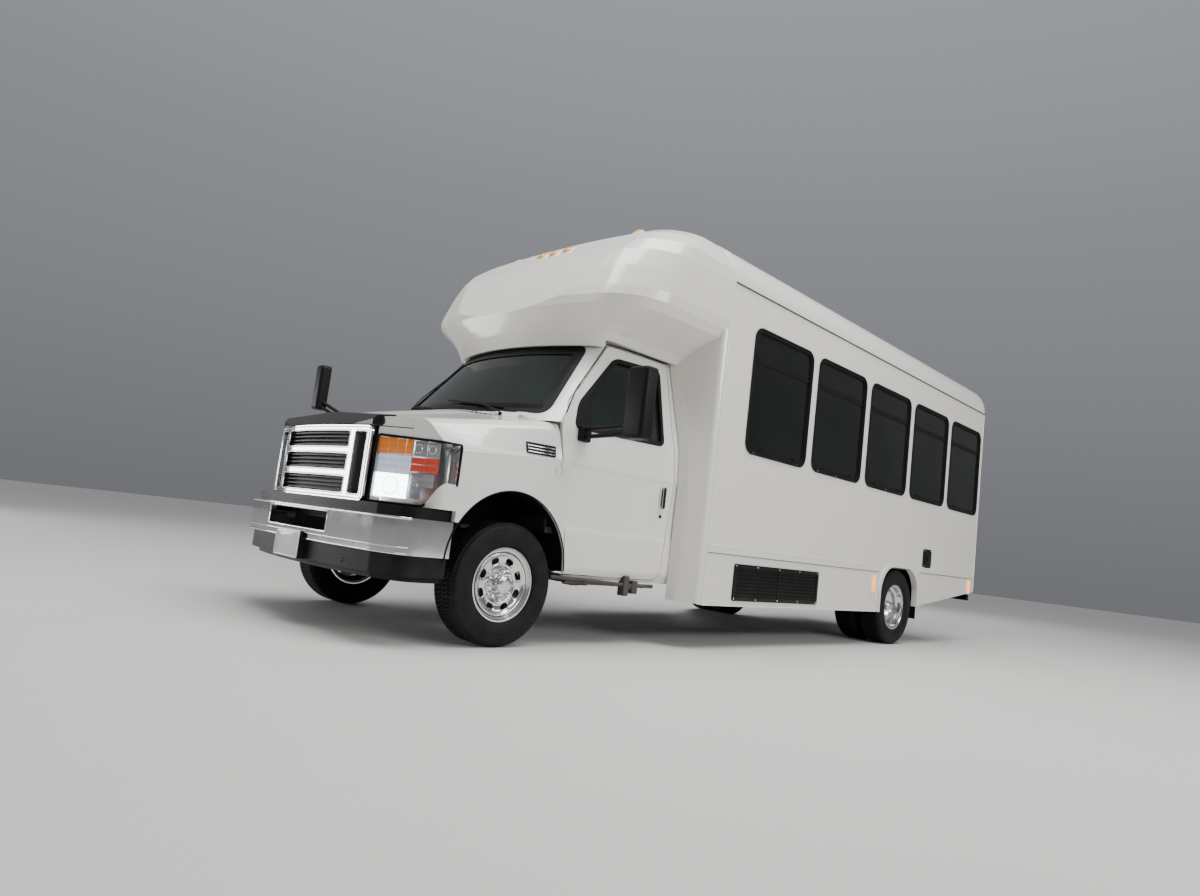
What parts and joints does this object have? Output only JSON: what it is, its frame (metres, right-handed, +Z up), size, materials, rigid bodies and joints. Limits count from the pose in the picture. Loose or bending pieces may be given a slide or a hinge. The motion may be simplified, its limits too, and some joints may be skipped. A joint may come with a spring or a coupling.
{
  "type": "cutaway minibus",
  "caption": "White cutaway minibus: van cab under a rounded front cap, wide bus body with dark side windows, dual rear wheels, opening doors and hood.",
  "frame": {"origin": "on the ground under the middle of the vehicle", "axes": "+Y towards the rear, +X towards the driver's side (vehicle's left), +Z up"},
  "size_m": [3.063, 7.854, 3.1075],
  "materials": {
    "white_paint": "gloss",
    "bright_metal": "polished",
    "black_plastic": "matt",
    "smoked_plastic": "gloss",
    "tyre_rubber": "matt",
    "flap_rubber": "matt",
    "frame_paint": "satin",
    "engine_iron": "matt",
    "exhaust_steel": "dull",
    "tinted_glass": "polished",
    "lamp_lens": "clear",
    "amber_lens": "gloss",
    "red_lens": "gloss",
    "door_frame_black": "satin",
    "floor_board": "matt",
    "seat_cloth": "woven"
  },
  "bodies": {
    "vehicle": {"cab_shell": "white_paint", "front_wings": "white_paint", "front_cap": "white_paint", "wall_left": "white_paint", "wall_right": "white_paint", "roof": "white_paint", "rear_wall": "white_paint", "front_bumper": "bright_metal", "grille": "bright_metal", "front_valance": "black_plastic", "grille_slats": "black_plastic", "window_frames": "black_plastic", "wall_fittings": "black_plastic", "rear_bumper": "black_plastic", "wing_mirror": "black_plastic", "dashboard": "black_plastic", "mudflaps": "flap_rubber", "frame": "frame_paint", "front_axle": "frame_paint", "rear_axle": "frame_paint", "driveshaft": "frame_paint", "fuel_tank": "frame_paint", "engine": "engine_iron", "exhaust": "exhaust_steel", "side_glass": "tinted_glass", "windshield": "tinted_glass", "headlamps": "lamp_lens", "clearance_lamps": "amber_lens", "side_markers": "amber_lens", "tail_lamps": "red_lens", "floor": "floor_board", "passenger_seats": "seat_cloth", "cab_seats": "seat_cloth"},
    "knuckle_left": {"knuckle_left": "frame_paint"},
    "knuckle_right": {"knuckle_right": "frame_paint"},
    "tie_rod": {"tie_rod": "frame_paint"},
    "wheel_front_left": {"tyre_front_left": "tyre_rubber", "wheel_front_left": "bright_metal"},
    "wheel_front_right": {"tyre_front_right": "tyre_rubber", "wheel_front_right": "bright_metal"},
    "wheels_rear_left": {"tyres_rear_left": "tyre_rubber", "wheels_rear_left": "bright_metal"},
    "wheels_rear_right": {"tyres_rear_right": "tyre_rubber", "wheels_rear_right": "bright_metal"},
    "hood": {"hood": "white_paint", "stone_deflector": "smoked_plastic"},
    "cab_door_left": {"cab_door_left": "white_paint", "door_glass_left": "tinted_glass", "door_mirror": "black_plastic"},
    "cab_door_right": {"cab_door_right": "white_paint", "door_glass_right": "tinted_glass"},
    "entry_leaf_front": {"entry_leaf_front": "door_frame_black", "entry_glass_front": "tinted_glass"},
    "entry_leaf_rear": {"entry_leaf_rear": "door_frame_black", "entry_glass_rear": "tinted_glass"},
    "rear_door": {"rear_door": "white_paint", "rear_glass": "tinted_glass"}
  },
  "joints": [
    {"name": "steer_left", "type": "hinge", "parent": "vehicle", "child": "knuckle_left", "pos_m": [0.755, -3.023, 0.367], "axis": [0, 0, 1], "range_deg": [-35, 35]},
    {"name": "steer_right", "type": "hinge", "parent": "vehicle", "child": "knuckle_right", "pos_m": [-0.755, -3.023, 0.367], "axis": [0, 0, 1], "range_deg": [-35, 35]},
    {"name": "tie_rod_shift", "type": "slide", "parent": "vehicle", "child": "tie_rod", "axis": [1, 0, 0], "range_m": [-0.0948, 0.0948]},
    {"name": "wheel_front_left_spin", "type": "hinge", "parent": "knuckle_left", "child": "wheel_front_left", "pos_m": [0.8815, -3.023, 0.367], "axis": [1, 0, 0], "continuous": true},
    {"name": "wheel_front_right_spin", "type": "hinge", "parent": "knuckle_right", "child": "wheel_front_right", "pos_m": [-0.8815, -3.023, 0.367], "axis": [1, 0, 0], "continuous": true},
    {"name": "wheels_rear_left_spin", "type": "hinge", "parent": "vehicle", "child": "wheels_rear_left", "pos_m": [0.96, 1.803, 0.367], "axis": [1, 0, 0], "continuous": true},
    {"name": "wheels_rear_right_spin", "type": "hinge", "parent": "vehicle", "child": "wheels_rear_right", "pos_m": [-0.96, 1.803, 0.367], "axis": [1, 0, 0], "continuous": true},
    {"name": "hood_lift", "type": "hinge", "parent": "vehicle", "child": "hood", "pos_m": [0, -2.863, 1.36], "axis": [-1, 0, 0], "range_deg": [0, 50]},
    {"name": "cab_door_left_swing", "type": "hinge", "parent": "vehicle", "child": "cab_door_left", "pos_m": [1.014, -2.705, 1.11], "axis": [0, 0, -1], "range_deg": [0, 65]},
    {"name": "cab_door_right_swing", "type": "hinge", "parent": "vehicle", "child": "cab_door_right", "pos_m": [-1.014, -2.705, 1.11], "axis": [0, 0, 1], "range_deg": [0, 65]},
    {"name": "entry_front_swing", "type": "hinge", "parent": "vehicle", "child": "entry_leaf_front", "pos_m": [-1.228, -1.167, 1.3], "axis": [0, 0, 1], "range_deg": [0, 90]},
    {"name": "entry_rear_swing", "type": "hinge", "parent": "vehicle", "child": "entry_leaf_rear", "pos_m": [-1.228, -0.279, 1.3], "axis": [0, 0, -1], "range_deg": [0, 90]},
    {"name": "rear_door_swing", "type": "hinge", "parent": "vehicle", "child": "rear_door", "pos_m": [-0.414, 3.816, 1.6], "axis": [0, 0, 1], "range_deg": [0, 110]}
  ],
  "couplings": [
    {"joint": "steer_right", "follows": "steer_left", "ratio": 1},
    {"joint": "tie_rod_shift", "follows": "steer_left", "m_per_rad": -0.155},
    {"joint": "entry_rear_swing", "follows": "entry_front_swing", "ratio": 1}
  ]
}
